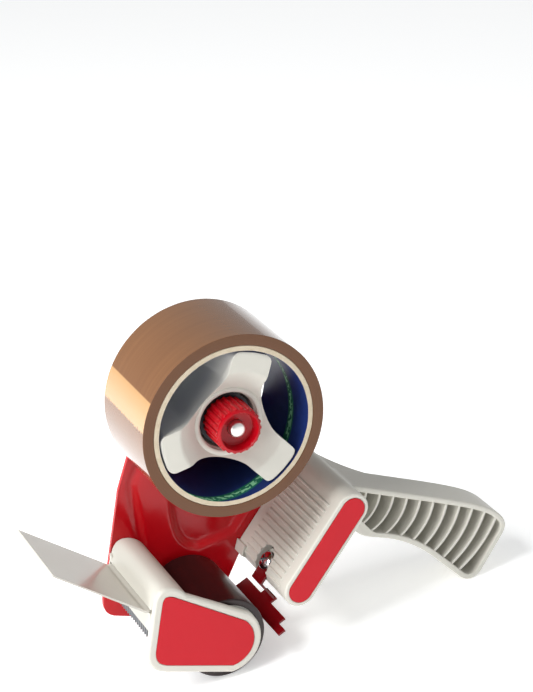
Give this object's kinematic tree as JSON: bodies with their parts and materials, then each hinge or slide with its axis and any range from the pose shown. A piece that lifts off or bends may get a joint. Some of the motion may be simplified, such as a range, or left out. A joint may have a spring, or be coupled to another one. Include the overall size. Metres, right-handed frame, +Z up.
{
  "type": "hand tape dispenser",
  "caption": "Hand-held parcel tape dispenser with a braked roll hub on a steel side plate, rubber roller, toothed cutter, flexible wiper and ribbed pistol grip.",
  "frame": {"origin": "middle of the box at its base, on the surface that the roller and the butt of the grip stand on", "axes": "+X back from the cutting head to the grip, +Y from the open side out through the steel side plate, +Z up"},
  "size_m": [0.245, 0.068, 0.1779],
  "materials": {
    "red_paint": "gloss enamel on pressed steel",
    "grey_plastic": "satin moulded",
    "red_label": "satin printed film",
    "red_plastic": "glossy moulded",
    "flap_plastic": "glossy flexible sheet",
    "black_rubber": "smooth ground rubber",
    "white_plastic": "moulded",
    "brown_tape": "glossy film, brown adhesive showing through",
    "core_board": "wound board with a printed bore",
    "steel": "zinc plated",
    "chrome": "polished",
    "felt": "pressed felt"
  },
  "bodies": {
    "frame": {"side_plate": "red_paint", "grip_moulding": "grey_plastic", "block_label": "red_label", "grip_screw_1": "steel", "grip_screw_2": "steel", "head_screw_1": "steel", "head_screw_2": "steel", "tape_guard": "red_paint", "guard_screw": "chrome", "cutting_head": "grey_plastic", "cover_label": "red_label", "cutting_blade": "steel", "blade_screw_1": "steel", "blade_screw_2": "steel", "wiper_root": "flap_plastic", "roller_axle": "steel", "spindle_bolt": "steel", "spindle_nut": "steel", "backing_washer": "steel"},
    "wiper": {"wiper_flap": "flap_plastic"},
    "roller": {"roller_sleeve": "black_rubber", "roller_drum": "white_plastic", "roller_bush_1": "white_plastic", "roller_bush_2": "white_plastic"},
    "hub_body": {"hub": "grey_plastic", "friction_disc": "felt"},
    "roll": {"tape_core": "core_board", "tape_winding": "brown_tape"},
    "brake_slider": {"brake_washer": "steel", "brake_spring": "steel"},
    "knob": {"brake_knob": "red_plastic"}
  },
  "joints": [
    {"name": "hub_spin", "type": "hinge", "parent": "frame", "child": "hub_body", "pos_m": [-0.02414, 0, 0.1316], "axis": [0, 1, 0], "continuous": true},
    {"name": "roll_load", "type": "slide", "parent": "hub_body", "child": "roll", "axis": [0, -1, 0], "range_m": [0, 0.06]},
    {"name": "brake_travel", "type": "slide", "parent": "frame", "child": "brake_slider", "axis": [0, 1, 0], "range_m": [-0.00125, 0.00187], "deforming": ["brake_spring"]},
    {"name": "knob_turn", "type": "hinge", "parent": "brake_slider", "child": "knob", "pos_m": [-0.02414, 0, 0.1316], "axis": [0, 1, 0], "range_deg": [-361, 541]},
    {"name": "roller_spin", "type": "hinge", "parent": "frame", "child": "roller", "pos_m": [-0.04191, 0, 0.021], "axis": [0, 1, 0], "continuous": true},
    {"name": "wiper_bend", "type": "hinge", "parent": "frame", "child": "wiper", "pos_m": [-0.07875, 0, 0.04958], "axis": [0, 1, 0], "range_deg": [-25, 40], "stiffness_Nm_per_rad": 0.15}
  ],
  "couplings": [
    {"joint": "knob_turn", "follows": "brake_travel", "rad_per_m": 5026.5}
  ]
}
